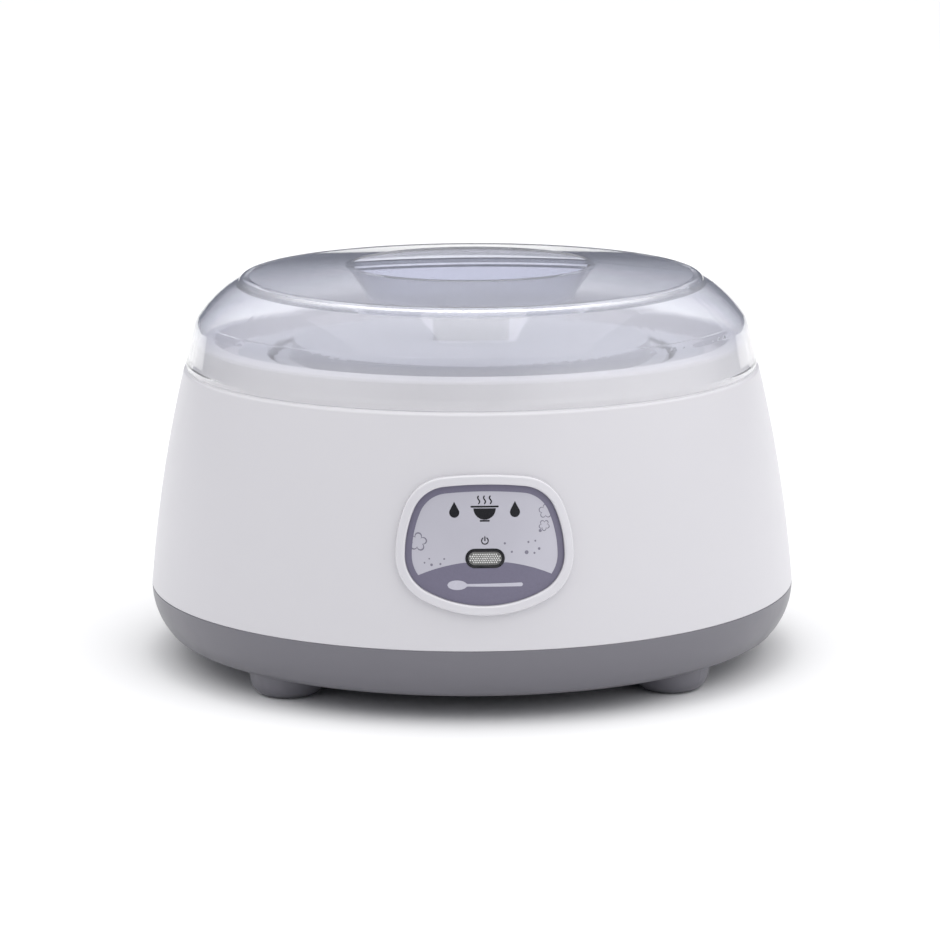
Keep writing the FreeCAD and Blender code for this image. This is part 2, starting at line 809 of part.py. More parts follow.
def heater_clamp():
    body = new_body("heater_clamp")
    middle = "plate_top - plate_wall - heater_thickness - mica_thickness"
    upper = [
        ("clamp_reach", "clamp_end_height"),
        ("clamp_bend_outer", "clamp_end_height"),
        ("clamp_bend_inner", middle),
    ]
    left_top = [(f"-{across}", up) for across, up in reversed(upper)]
    left_under = [(f"-{across}", f"{up} - clamp_thickness") for across, up in upper]
    right_under = [(across, f"{up} - clamp_thickness") for across, up in reversed(upper)]
    strip = outline(sketch_on(body, "strip"), upper + left_top + left_under + right_under)
    raised(strip, "clamp_width", both_sides=True)
    holes = sketch_on(body, "holes", "XY_Plane", offset=f"clamp_end_height + {BEYOND}")
    circles(holes, CLAMP_ENDS, "small_screw_radius + clear_hole_play")
    raised(holes, f"clamp_thickness + 2 * {BEYOND}", cut=True)
    return body


def thermal_fuse():
    height = "plate_top - plate_wall - fuse_radius - fuse_play"
    across = "pole_pitch / 2"
    forward = Vector(0, 1, 0)
    barrel = cylinder("fuse_barrel", "fuse_radius", "fuse_length", across, "fuse_start", height, forward)
    lead = cylinder("fuse_leads", "fuse_lead_radius", "fuse_lead_end - heater_width / 2",
                    across, "heater_width / 2", height, forward)
    return joined("Fuse", "thermal_fuse", barrel, lead)


def fuse_clip():
    body = new_body("fuse_clip")
    top, middle = "plate_top - plate_wall", "pole_pitch / 2"
    inner, outer = "fuse_radius + fuse_play", "fuse_radius + fuse_play + fuse_clip_sheet"
    low, sheet = f"{top} - 2 * (fuse_radius + fuse_play)", "fuse_clip_sheet"
    right = [
        (outer, f"{low} - {sheet}"),
        (outer, f"{top} - {sheet}"),
        ("fuse_clip_reach", f"{top} - {sheet}"),
        ("fuse_clip_reach", top),
        (inner, top),
        (inner, low),
    ]
    corners = [(f"{middle} + ({across})", up) for across, up in right]
    corners += [(f"{middle} - ({across})", up) for across, up in reversed(right)]
    end = "-(fuse_start + fuse_length - fuse_clip_setback)"
    strap = outline(sketch_on(body, "strap", offset=end), corners)
    raised(strap, "fuse_clip_width")
    return body


# ---------------------------------------------------------------- badge and indicator


def badge_corners(inset):
    """The badge's outline, drawn in from its edge by inset. Five arcs meet tangent, and the
    left half mirrors the right."""
    top, side = f"(badge_top_bend - {inset})", f"(badge_side_bend - {inset})"
    corner, lower = f"badge_corner_bend - {inset}", f"badge_lower_bend - {inset}"
    bottom = f"(badge_bottom_bend - {inset})"
    upper_end = (
        f"{top} * sin(badge_top_angle)",
        f"badge_top - badge_top_bend + {top} * cos(badge_top_angle)",
    )
    side_start = (
        f"(badge_half_width - badge_side_bend + {side} * cos(badge_side_angle))",
        f"badge_widest + {side} * sin(badge_side_angle)",
    )
    widest = (f"(badge_half_width - {inset})", "badge_widest")
    lower_end = (
        f"{bottom} * sin(badge_bottom_angle)",
        f"badge_bottom + badge_bottom_bend - {bottom} * cos(badge_bottom_angle)",
    )
    left = [(f"-{across}", up) for across, up in (upper_end, side_start, widest, lower_end)]
    right = [lower_end, widest, side_start, upper_end]
    bends = [corner, side, lower, bottom, lower, side, corner, top]
    return [(across, up, bend) for (across, up), bend in zip(left + right, bends)]


def badge_bezel():
    body = new_body("badge_bezel")
    reach = "seam_radius + bezel_width"
    raised(outline(sketch_on(body, "edge"), badge_corners("0")), reach)
    raised(outline(sketch_on(body, "mouth"), badge_corners("bezel_width")), reach, cut=True, reverse=True)
    side_band(body, "behind", "skin_gap", beyond=False)
    side_band(body, "before", "bezel_proud", beyond=True)
    doc.recompute()
    ring, front = body.Tip, []
    for number, edge in enumerate(ring.Shape.Edges, start=1):
        middle = edge.valueAt((edge.FirstParameter + edge.LastParameter) / 2)
        proud = math.hypot(middle.x, middle.y) - casing_radius(middle.z)
        if proud > value("bezel_proud") * FRONT_SHARE:
            front.append(f"Edge{number}")
    soft = body.newObject("PartDesign::Fillet", "badge_bezel_soft_edge")
    soft.Base = (ring, front)
    soft.setExpression("Radius", sized("bezel_edge"))
    pegs = sketch_on(body, "pegs", offset="lamp_distance")
    circles(pegs, PEGS, "peg_radius")
    raised(pegs, "peg_length")
    return body


def casing_radius(height):
    """The casing's outer radius at a height, from the same arc as its section."""
    bulge_squared = value("side_bulge") ** 2
    low = Vector(value("seam_radius"), value("seam_height"), 0)
    high = Vector(value("shoulder_radius"), value("shoulder_height"), 0)
    chord = high - low
    side = Vector(chord.y, -chord.x, 0).normalize()
    centre = (low + high) * 0.5 - side * math.sqrt(bulge_squared - chord.Length ** 2 / 4)
    return centre.x + math.sqrt(bulge_squared - (height - centre.y) ** 2)


def badge_label():
    body = new_body("badge_label")
    reach = "seam_radius + bezel_width"
    raised(outline(sketch_on(body, "edge"), badge_corners("(bezel_width + label_gap)")), reach)
    window = sketch_on(body, "window")
    stadium(window, "lens_centre", "lens_half_length", "lens_radius + lens_play")
    raised(window, reach, cut=True, reverse=True)
    side_band(body, "behind", "skin_gap", beyond=False)
    side_band(body, "before", "label_thickness", beyond=True)
    return body


def indicator_lens():
    body = new_body("indicator_lens")
    flange = sketch_on(body, "flange", offset="lens_flange_back")
    stadium(flange, "lens_centre", "lens_half_length", "lens_flange_radius")
    raised(flange, "lens_flange_thickness")
    nose = sketch_on(body, "nose", offset="lens_flange_back")
    stadium(nose, "lens_centre", "lens_half_length", "lens_radius")
    raised(nose, "seam_radius - lens_flange_back")
    side_band(body, "before", "lens_proud", beyond=True)
    return body


def indicator_lamp():
    """A small neon bulb that lies behind the window, with round ends."""
    half = "lamp_length / 2 - lamp_radius"
    barrel = cylinder("lamp_barrel", "lamp_radius", f"2 * ({half})", f"-({half})",
                      "-lamp_distance", "lens_centre", Vector(1, 0, 0))
    lamp = barrel
    for name, across in (("left", f"-({half})"), ("right", half)):
        end = doc.addObject("Part::Sphere", f"lamp_{name}_end")
        end.setExpression("Radius", sized("lamp_radius"))
        place(end, across, "-lamp_distance", "lens_centre")
        lamp = joined("Fuse", f"lamp_with_{name}_end", lamp, end)
    lamp.Label = "indicator_lamp"
    return lamp


def lamp_holder():
    """A trough that opens towards the lens."""
    front, room = "lens_flange_back - holder_gap", "lamp_radius + lamp_play"
    foot, long = "lens_centre - holder_height / 2", f"holder_length + 2 * {BEYOND}"
    left = f"-holder_length / 2 - {BEYOND}"
    block = box("holder_block", "holder_length", f"{front} - holder_back", "holder_height",
                "-holder_length / 2", f"-({front})", foot)
    bore = cylinder("holder_bore", room, long, left, "-lamp_distance", "lens_centre", Vector(1, 0, 0))
    mouth = box("holder_mouth", long, f"{front} - lamp_distance + {BEYOND}", f"2 * ({room})",
                left, f"-({front}) - {BEYOND}", f"lens_centre - ({room})")
    return joined("Cut", "lamp_holder", block, joined("Fuse", "holder_hollow", bore, mouth))


# ---------------------------------------------------------------- terminal block and wires


def terminal_block():
    body = new_body("terminal_block")
    base = sketch_on(body, "base", "XY_Plane", offset="block_bottom")
    rectangle(base, "-block_length / 2", "block_front", "block_length / 2", "block_front + block_depth")
    raised(base, "block_height")
    middle = "block_front + block_depth / 2"
    poles = [f"{pole} * pole_pitch" for pole in POLES]
    wells = sketch_on(body, "wells", "XY_Plane", offset="block_bottom + block_height")
    circles(wells, [(pole, middle) for pole in poles], "block_screw_radius + block_screw_play")
    raised(wells, "block_well_depth", cut=True)
    for name, start, away in (
        ("front_entries", "-block_front", False),
        ("back_entries", "-block_front - block_depth", True),
    ):
        entries = sketch_on(body, name, offset=start)
        circles(entries, [(pole, "block_wire_height") for pole in poles], "block_wire_hole")
        raised(entries, "block_entry_depth", cut=True, reverse=away)
    mounting = sketch_on(body, "mounting", "XY_Plane", offset="block_bottom + block_height")
    places = [("-pole_pitch", middle), ("pole_pitch", middle)]
    circles(mounting, places, "small_screw_radius + clear_hole_play")
    raised(mounting, f"block_height + {BEYOND}", cut=True)
    return body


def rounded_path(points, bend):
    """Straight runs joined by tangent arcs."""
    edges, reached = [], points[0]
    for before, corner, after in zip(points, points[1:], points[2:]):
        back, on = (before - corner).normalize(), (after - corner).normalize()
        half_turn = (math.pi - back.getAngle(on)) / 2
        cut = bend * math.tan(half_turn)
        start, end = corner + back * cut, corner + on * cut
        inward = (back + on).normalize()
        centre = corner + inward * (bend / math.cos(half_turn))
        edges.append(Part.LineSegment(reached, start).toShape())
        edges.append(Part.Arc(start, centre - inward * bend, end).toShape())
        reached = end
    edges.append(Part.LineSegment(reached, points[-1]).toShape())
    return Part.Wire(edges)


def wire(points, radius, bend):
    """A wire's solid along a path of rounded corners."""
    path = rounded_path(points, bend)
    ring = Part.Circle(points[0], points[1] - points[0], radius).toShape()
    solid = path.makePipeShell([Part.Wire([ring])], True, True)
    expected = math.pi * radius ** 2 * path.Length
    if abs(solid.Volume / expected - 1) > 0.02:
        raise ValueError("a wire's volume isn't its section times its length")
    return solid


def wires(label, routes):
    piece = doc.addObject("Part::Feature", label)
    radius, bend = value("wire_radius"), value("wire_bend")
    piece.Shape = Part.makeCompound([wire(route, radius, bend) for route in routes])
    piece.Label = label
    return piece


def wiring():
    """Two wires to the heater and two to the lamp, all from the front of the terminal block."""
    block, height, low = value("block_front"), value("block_wire_height"), value("wire_floor")
    entered, out = block + value("wire_in_block"), block - value("wire_out_of_block")
    down = out - value("wire_slope")
    inner, outer = value("pole_pitch / 2"), value("pole_pitch * 1.5")

    def leaving(across):
        return [Vector(across, entered, height), Vector(across, out, height), Vector(across, down, low)]

    def to_heater(across, end, level):
        rise = end + value("heater_wire_rise")
        return leaving(across) + [Vector(across, rise, low), Vector(across, end, level)]

    fuse_level = value("plate_top - plate_wall - fuse_radius - fuse_play")
    slab_level = value("plate_top - plate_wall - wire_radius - wire_end_gap / 2")
    wires("heater_wires", [
        to_heater(inner, value("fuse_lead_end + wire_end_gap"), fuse_level),
        to_heater(-inner, value("heater_width / 2 + wire_end_gap"), slab_level),
    ])

    front, centre, lamp = value("lamp_wire_distance"), value("lens_centre"), value("lamp_distance")
    rise, lean = value("lamp_wire_rise"), value("lamp_wire_lean")
    lamp_end = value("lamp_length / 2 + lens_play")
    to_lamp = []
    for side in (-1, 1):
        across = side * outer
        to_lamp.append(leaving(across) + [
            Vector(across, rise - front, low),
            Vector(across, -front, low + rise),
            Vector(across, -front, centre - lean),
            Vector(across, -lamp, centre),
            Vector(side * lamp_end, -lamp, centre),
        ])
    wires("lamp_wires", to_lamp)


def resistor_sleeve():
    place_at = ("pole_pitch * 1.5", "-lamp_wire_distance", "sleeve_bottom")
    tube = cylinder("sleeve_tube", "sleeve_radius", "sleeve_height", *place_at)
    bore = cylinder("sleeve_bore", "wire_radius + skin_gap", "sleeve_height", *place_at)
    return joined("Cut", "resistor_sleeve", tube, bore)


# ---------------------------------------------------------------- fasteners


def fasteners():
    pan = ("screw_head_radius", "screw_head_height")
    washer = ("washer_head_radius", "washer_head_height")
    small_pan = ("screw_head_radius * 0.85", "screw_head_height * 0.7")
    group("tray_screws", [
        screw(f"tray_screw_{corner}", *around("foot_circle", angle), "tray_screw_seat", pan,
              ("screw_radius", "tray_screw_length"))
        for corner, angle in FEET.items()
    ])
    group("well_screws", [
        screw(f"well_screw_{turn}", *around("well_boss_circle", QUARTER_TURN * turn),
              "lip_height - casing_wall", washer, ("small_screw_radius", "well_screw_length"))
        for turn in range(4)
    ])
    group("plate_screws", [
        screw(f"plate_screw_{turn}", *plate_boss(turn), "well_floor - well_wall - plate_wall", washer,
              ("small_screw_radius", "plate_screw_length"))
        for turn in range(3)
    ])
    group("clamp_screws", [
        screw(f"clamp_screw_{name}", across, 0, "clamp_end_height - clamp_thickness", small_pan,
              ("small_screw_radius", "clamp_screw_length"))
        for name, across in (("left", "-clamp_circle"), ("right", "clamp_circle"))
    ])
    middle, block_top = "block_front + block_depth / 2", "block_bottom + block_height"
    group("block_screws", [
        screw(f"block_screw_{name}", across, middle, block_top,
              ("small_screw_radius + block_head_proud", "block_head_height"),
              ("small_screw_radius", "block_screw_length"), upward=False)
        for name, across in (("left", "-pole_pitch"), ("right", "pole_pitch"))
    ])
    group("terminal_screws", [
        cylinder(f"terminal_screw_{number}", "block_screw_radius", "terminal_screw_length",
                 f"{pole} * pole_pitch", middle, f"{block_top} - block_well_depth + block_screw_play")
        for number, pole in enumerate(POLES)
    ])


# ---------------------------------------------------------------- lid, container and its lid


def lid():
    body = new_body("lid")

    def inset(point, lean):
        """A point of the outside, moved one wall inward, across the wall as it leans there."""
        return (f"lid_{point}_radius - lid_wall * cos(lid_{lean}_lean)",
                f"lid_{point}_height - lid_wall * sin(lid_{lean}_lean)")

    outer = [
        (0, "lid_bottom"),
        ("lid_skirt_radius", "lid_bottom"),
        ("lid_skirt_radius", "lid_lip_top"),
        ("lid_skirt_turn_radius", "lid_skirt_turn_height"),
        ("lid_skirt_top_radius", "lid_skirt_top_height", "lid_corner_bend"),
        ("lid_shoulder_radius", "lid_shoulder_height", "lid_shoulder_bend"),
        ("lid_step_radius", "lid_step_height"),
        ("lid_bead_radius", "lid_bead_height", "lid_bead_bend"),
        ("lid_plate_radius", "lid_plate_height"),
        ("lid_rim_radius", "lid_rim_height"),
        ("lid_cup_radius", "lid_cup_turn", "-lid_cup_bend"),
        ("lid_cup_flat", "lid_cup_floor"),
        (0, "lid_cup_floor"),
    ]
    turned(outline(sketch_on(body, "outside"), outer))
    arch = [
        ("-grip_half_length", "lid_cup_floor - lid_wall / 2"),
        ("grip_half_length", "lid_cup_floor - lid_wall / 2"),
        ("grip_half_length", "grip_end_height", "grip_bend"),
        ("-grip_half_length", "grip_end_height"),
    ]
    raised(outline(sketch_on(body, "grip"), arch), "2 * grip_half_width", both_sides=True)
    inner = [
        (0, f"lid_bottom - {BEYOND}"),
        ("lid_skirt_radius - lid_wall", f"lid_bottom - {BEYOND}"),
        ("lid_skirt_radius - lid_wall", "lid_lip_top"),
        ("lid_skirt_turn_radius - lid_wall", "lid_skirt_turn_height"),
        (*inset("skirt_top", "skirt"), "lid_corner_bend - lid_wall"),
        (*inset("shoulder", "corner"), "lid_shoulder_bend - lid_wall"),
        inset("step", "step"),
        ("lid_plate_radius", "lid_plate_height - lid_wall"),
        ("lid_rim_radius + lid_wall", "lid_rim_height - lid_wall"),
        ("lid_cup_radius + lid_wall", "lid_cup_turn", "-(lid_cup_bend + lid_wall)"),
        ("lid_cup_flat", "lid_cup_floor - lid_wall"),
        (0, "lid_cup_floor - lid_wall"),
    ]
    turned(outline(sketch_on(body, "inside"), inner), cut=True)
    hollow_end = "grip_half_length + lid_wall"
    hollow = [
        (f"-({hollow_end})", "lid_cup_floor - 3 * lid_wall"),
        (hollow_end, "lid_cup_floor - 3 * lid_wall"),
        (hollow_end, "grip_end_height - lid_wall - grip_end_spare", "grip_bend"),
        (f"-({hollow_end})", "grip_end_height - lid_wall - grip_end_spare"),
    ]
    raised(outline(sketch_on(body, "grip_hollow"), hollow), "2 * (grip_half_width - lid_wall)",
           cut=True, both_sides=True)
    return body


def inner_container():
    body = new_body("inner_container")
    section = [
        (0, "container_bottom"),
        ("container_floor_radius", "container_bottom"),
        ("container_turn_radius", "container_turn_height"),
        ("container_top_radius", "container_rim_foot - container_rim_slope"),
        ("container_rim_radius", "container_rim_foot"),
        ("container_rim_radius", "container_rim_top"),
        ("container_rim_radius - container_wall", "container_rim_top"),
        ("container_top_radius - container_wall", "container_rim_foot - container_rim_slope"),
        ("container_turn_radius - container_wall", "container_turn_height + container_wall / 5"),
        ("container_floor_radius - container_wall / 2", "container_bottom + container_wall"),
        (0, "container_bottom + container_wall"),
    ]
    turned(outline(sketch_on(body, "section"), section))
    rounded(body, "container_rim_round", [("container_rim_radius", "container_rim_top")])
    return body


def container_lid():
    body = new_body("container_lid")
    section = [
        (0, "cover_disc_height - cover_wall"),
        ("cover_disc_radius - cover_wall * 0.6", "cover_disc_height - cover_wall"),
        ("cover_disc_foot - cover_wall * 0.7", "cover_flange_height - cover_wall"),
        ("cover_skirt_radius - cover_wall", "cover_flange_height - cover_wall"),
        ("cover_skirt_radius - cover_wall", "cover_skirt_bottom"),
        ("cover_skirt_radius", "cover_skirt_bottom"),
        ("cover_skirt_radius", "cover_flange_height"),
        ("cover_disc_foot", "cover_flange_height"),
        ("cover_disc_radius", "cover_disc_height"),
        (0, "cover_disc_height"),
    ]
    turned(outline(sketch_on(body, "section"), section))
    rounded(body, "cover_round", [("cover_skirt_radius", "cover_flange_height")])
    length, width = "handle_length / 2 - handle_width / 2", "handle_width / 2"
    handle = sketch_on(body, "handle", "XY_Plane", offset="cover_disc_height - cover_wall / 2")
    stadium(handle, 0, length, width)
    raised(handle, "handle_top - cover_disc_height + cover_wall / 2")
    under = f"cover_disc_height - cover_wall - {BEYOND}"
    hollow = sketch_on(body, "handle_hollow", "XY_Plane", offset=under)
    stadium(hollow, 0, length, f"{width} - cover_wall")
    raised(hollow, f"handle_top - cover_disc_height + {BEYOND}", cut=True, reverse=True)
    return body


# ---------------------------------------------------------------- checks and export


def check(nodes):
    """Stops on any failed feature, a cut that takes nothing away, or a bad shape."""
    for feature in doc.Objects:
        if "Invalid" in feature.State or "Error" in feature.State:
            raise ValueError(f"{feature.Name} failed: {feature.State}")
        cuts = feature.TypeId in ("PartDesign::Pocket", "PartDesign::Groove")
        if cuts and feature.Shape.Volume > feature.BaseFeature.Shape.Volume - 1e-3:
            raise ValueError(f"{feature.Name} cuts nothing")
    for node in nodes:
        shape = node.Shape
        if shape.isNull() or not shape.isValid() or not shape.Solids:
            raise ValueError(f"{node.Label} has no valid solid")
        if node.TypeId == "PartDesign::Body" and len(shape.Solids) != 1:
            raise ValueError(f"{node.Label} is {len(shape.Solids)} solids")


def top_level():
    """The finished pieces: whatever no other shape is made from."""
    kinds = ("PartDesign::Body", "Part::")
    found = [o for o in doc.Objects if o.TypeId.startswith(kinds)]
    used = set()
    for piece in found:
        if piece.TypeId != "PartDesign::Body":
            used.update(other.Name for other in piece.OutList)
    return [piece for piece in found if piece.Name not in used]


def main():
    for make in (
        outer_casing, base_tray, foot_pads, rating_plate, cord_bush, inner_well, heater_plate,
        heater_slabs, heater_clamp, thermal_fuse, fuse_clip, badge_bezel, badge_label,
        indicator_lens, indicator_lamp, lamp_holder, terminal_block, wiring, resistor_sleeve,
        fasteners, lid, inner_container, container_lid,
    ):
        make()
    doc.recompute()
    nodes = top_level()
    check(nodes)
    os.makedirs("parts", exist_ok=True)
    for node in nodes:
        node.Shape.exportStep(f"parts/{node.Label}.step")
        print(f"{node.Label}: {node.Shape.Volume:.0f} cubic mm")


main()
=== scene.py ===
"""Looks for the yogurt maker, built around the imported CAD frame. Metres, +Z up, badge along -Y."""

import json
import math

import bmesh
import bpy
from mathutils import Matrix, Vector
from mathutils.bvhtree import BVHTree


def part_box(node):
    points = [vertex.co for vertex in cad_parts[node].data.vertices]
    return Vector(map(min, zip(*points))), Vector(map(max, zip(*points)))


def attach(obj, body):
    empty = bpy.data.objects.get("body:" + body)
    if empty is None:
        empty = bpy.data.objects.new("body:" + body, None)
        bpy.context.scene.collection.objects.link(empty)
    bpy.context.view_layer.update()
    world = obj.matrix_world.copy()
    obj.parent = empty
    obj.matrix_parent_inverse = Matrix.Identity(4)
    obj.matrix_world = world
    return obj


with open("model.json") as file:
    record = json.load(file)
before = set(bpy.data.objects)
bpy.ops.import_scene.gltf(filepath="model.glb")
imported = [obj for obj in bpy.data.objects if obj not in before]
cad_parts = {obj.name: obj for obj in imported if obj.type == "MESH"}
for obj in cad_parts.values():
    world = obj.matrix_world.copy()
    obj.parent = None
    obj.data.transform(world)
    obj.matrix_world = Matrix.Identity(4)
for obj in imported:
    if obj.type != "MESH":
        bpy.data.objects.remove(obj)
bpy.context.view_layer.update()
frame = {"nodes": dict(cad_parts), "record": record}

MM = 0.001

# camera: where the photograph was taken from, and its lens
CAMERA_DISTANCE = 1220.8 * MM
CAMERA_HEIGHT = 303.8 * MM
CAMERA_AZIMUTH = math.radians(-2.2)
CAMERA_ROLL = math.radians(-0.2)
AIM_HEIGHT = 61.6 * MM
AIM_SIDE = -0.6 * MM
LENS = 138.3

# badge: all its sizes are in millimetres and degrees, unlike the scene's metres.
# The right half of its outline, as arcs of (centre x, centre z, radius, first angle, last angle)
BADGE_ARCS = (
    (0, -33.5, 114, 90, 83.46),
    (11.275, 64.856, 15, 83.46, 23.218),
    (-11.7, 55, 40, 23.218, 0),
    (12.86, 55, 15.44, 0, -63.24),
    (0, 80.5, 44, -63.24, -90),
)
# an arc of it gets one step for this many degrees times millimetres of radius
OUTLINE_STEP = 40
BEZEL_WIDTH = 3
BORDER_WIDTH = 2.2
# the printing: how far it keeps off the bezel, how far one ink runs under another, how far
# each layer stands off the label, and how thick it is
INK_EDGE_GAP = 0.12
INK_OVERLAP = 0.3
INK_LIFT = 0.03
INK_THICKNESS = 0.06
# cuts across a print, so that it can follow the label's curve
CUT_PITCH_X = 1.5
CUT_PITCH_Z = 3
# the hill-shaped field along the badge's foot
HILL_RADIUS = 51
HILL_CENTRE = 2.5
HILL_HALF_WIDTH = 22.3
HILL_CORNER_GAP = 0.4
# the indicator's window, and the ring round it
WINDOW_HEIGHT = 54.4
WINDOW_HALF_LENGTH = 3.2
WINDOW_RADIUS = 2.05
RING_WIDTH = 1
# pictograms: each one's place, size and the width of its lines. The power mark's ring is open for
# POWER_GAP degrees each side of its top, and its bar runs between two heights over the middle.
BOWL_HEIGHT = 70
BOWL_WIDTH = 8.4
BOWL_LINE = 0.55
FOOT_GAP = 0.35
FOOT_LINE = 0.5
STEAM_LINE = 0.42
STEAM_GAP = 1.5
STEAM_HEIGHT = 2.3
STEAM_SWAY = 0.3
STEAM_TURNS = 2.6
DROP_SIDE = 9.6
DROP_MIDDLE = 69.6
DROP_HEIGHT = 5
POWER_HEIGHT = 59.9
POWER_RADIUS = 1.05
POWER_LINE = 0.36
POWER_GAP = 35
POWER_BAR = (0.05, 1.3)
SPOON_HEIGHT = 46
SPOON_LENGTH = 24
# blossoms, as (x, z, radius, turn in radians, width of the line)
BLOSSOMS = ((19.4, 68.6, 2.3, 0.3, 0.3), (18.9, 64.2, 1.8, 0.9, 0.3), (-21.2, 59.4, 3, 0.2, 0.45))
# dots printed like rising bubbles, as (x, z, radius)
BUBBLES = (
    (13.2, 56, 0.62), (8.5, 56.3, 0.36), (17.2, 57, 0.42), (17.6, 62.6, 0.5), (13.8, 59.2, 0.34),
    (16, 59.5, 0.3), (15.7, 55.7, 0.34), (6.3, 59, 0.36), (-16.9, 52.3, 0.42), (-19.1, 52.9, 0.28),
    (-14.1, 52.6, 0.34), (-17.6, 54.2, 0.26), (-12.9, 54.2, 0.3),
)
# tiny domes moulded in the indicator's lens
DOME_EDGE_GAP = 0.15
DOME_PITCH = 0.72
DOME_RADIUS = 0.27
DOME_FLATTEN = 0.6

# heights between which the clear lid's painted shade, a darker tint higher up, sets in, in
# millimetres
LID_PAINTED_SHADE_FROM = 107
LID_PAINTED_SHADE_FULL = 116

# studio: the surroundings' light near the horizon and overhead, how high it changes from one to
# the other (0 is the horizon, 1 straight up), and the paper that the object stands on
SKY_LOW = (0.34, 0.35, 0.39)
SKY_HIGH = (1.27, 1.27, 1.27)
SKY_CHANGE = (0.1, 0.85)
FLOOR_WHITE = (0.86, 0.86, 0.865)
FLOOR_SIZE = 9
# wide soft lights in the surroundings, or darker stretches where the strength is below zero:
# direction, strength, and the angles from it, in degrees, where they begin to fade and are gone
GLOWS = (
    ((1.9, -0.8, 0.8), 0.75, 10, 55),
    ((-1.9, -0.6, 0.6), 0.34, 10, 50),
    ((-0.25, -1.0, 0.1), -0.22, 0, 50),
    ((0.0, 1.0, 0.2), -0.25, 5, 60),
)
# lamps over the object: name, place, size and power in watts; each shines straight down
LAMPS = (
    ("overhead", (0, -0.2, 2.4), (3, 3), 16),
    ("key", (0.03, 0.03, 1.6), (0.55, 0.8), 2.6),
)


# ---------------------------------------------------------------- materials


class Shades:
    """A new material and the few nodes that every surface here is mixed from."""

    def __init__(self, name):
        self.material = bpy.data.materials.new(name)
        self.material.use_nodes = True
        self.tree = self.material.node_tree
        self.shader = self.tree.nodes["Principled BSDF"]
        self.place = self.add("ShaderNodeTexCoord").outputs["Object"]

    def add(self, kind, **settings):
        node = self.tree.nodes.new(kind)
        for key, setting in settings.items():
            setattr(node, key, setting)
        return node

    def link(self, output, node, socket):
        self.tree.links.new(output, node.inputs[socket])

    def value(self, **sockets):
        for socket, number in sockets.items():
            self.shader.inputs[socket.replace("_", " ")].default_value = number

    def noise(self, size, detail=3, roughness=0.5, stretch=(1, 1, 1)):
        """Noise whose blobs are about size millimetres across."""
        scaled = self.add("ShaderNodeMapping")
        scaled.inputs["Scale"].default_value = [share / (size * MM) for share in stretch]
        self.link(self.place, scaled, "Vector")
        noise = self.add("ShaderNodeTexNoise")
        noise.inputs["Scale"].default_value = 1
        noise.inputs["Detail"].default_value = detail
        noise.inputs["Roughness"].default_value = roughness
        self.link(scaled.outputs["Vector"], noise, "Vector")
        return noise.outputs["Fac"]

    def between(self, factor, low, high):
        """A number that goes from low to high as the noise does, which is mostly 0.3 to 0.7."""
        spread = self.add("ShaderNodeMapRange")
        spread.inputs["From Min"].default_value = 0.3
        spread.inputs["From Max"].default_value = 0.7
        spread.inputs["To Min"].default_value = low
        spread.inputs["To Max"].default_value = high
        self.link(factor, spread, "Value")
        return spread.outputs["Result"]

    def colours(self, factor, first, second):
        mix = self.add("ShaderNodeMix", data_type="RGBA")
        mix.inputs["A"].default_value = (*first, 1)
        mix.inputs["B"].default_value = (*second, 1)
        self.link(factor, mix, "Factor")
        return mix.outputs["Result"]

    def bump(self, height, depth, below=None):
        """A bump depth millimetres deep, on top of another one if below is its normal."""
        bump = self.add("ShaderNodeBump")
        bump.inputs["Distance"].default_value = depth * MM
        self.link(height, bump, "Height")
        if below is not None:
            self.link(below, bump, "Normal")
        return bump.outputs["Normal"]

    def paint(self, factor, colour, darkest, lightest):
        """The surface's colour: between two shares of one colour, as the noise goes."""
        mixed = self.colours(factor, tone(colour, darkest), tone(colour, lightest))
        self.link(mixed, self.shader, "Base Color")

    def gloss(self, factor, lowest, highest):
        """The surface's roughness, as the noise goes."""
        self.link(self.between(factor, lowest, highest), self.shader, "Roughness")

    def relief(self, height, depth, below=None):
        """The surface's bumps, depth millimetres deep."""
        self.link(self.bump(height, depth, below), self.shader, "Normal")


def ramp(tree, source, start, end, low, high):
    """A smooth step from low to high as the source goes from start to end."""
    step = tree.nodes.new("ShaderNodeMapRange")
    step.interpolation_type = "SMOOTHSTEP"
    ends = {"From Min": start, "From Max": end, "To Min": low, "To Max": high}
    for socket, number in ends.items():
        step.inputs[socket].default_value = number
    tree.links.new(source, step.inputs["Value"])
    return step.outputs["Result"]


def tone(colour, share):
    return tuple(channel * share for channel in colour)


def moulded(name, colour, roughness, grain=0.9, spread=0.014, coat=0.0, specular=0.5):
    """Injection-moulded plastic: faint flow marks in its colour, uneven gloss and a fine skin."""
    made = Shades(name)
    flow = made.noise(38, detail=4, stretch=(1, 1, 0.45))
    made.paint(flow, colour, 1 - spread / 2, 1 + spread / 2)
    wear = made.noise(11, detail=5, roughness=0.6)
    made.gloss(wear, roughness * 0.94, roughness * 1.1)
    skin = made.bump(made.noise(grain, detail=2), 0.002)
    made.relief(made.noise(26, detail=1), 0.01, below=skin)
    made.value(IOR=1.49, Specular_IOR_Level=specular, Coat_Weight=coat, Coat_Roughness=0.06)
    return made.material


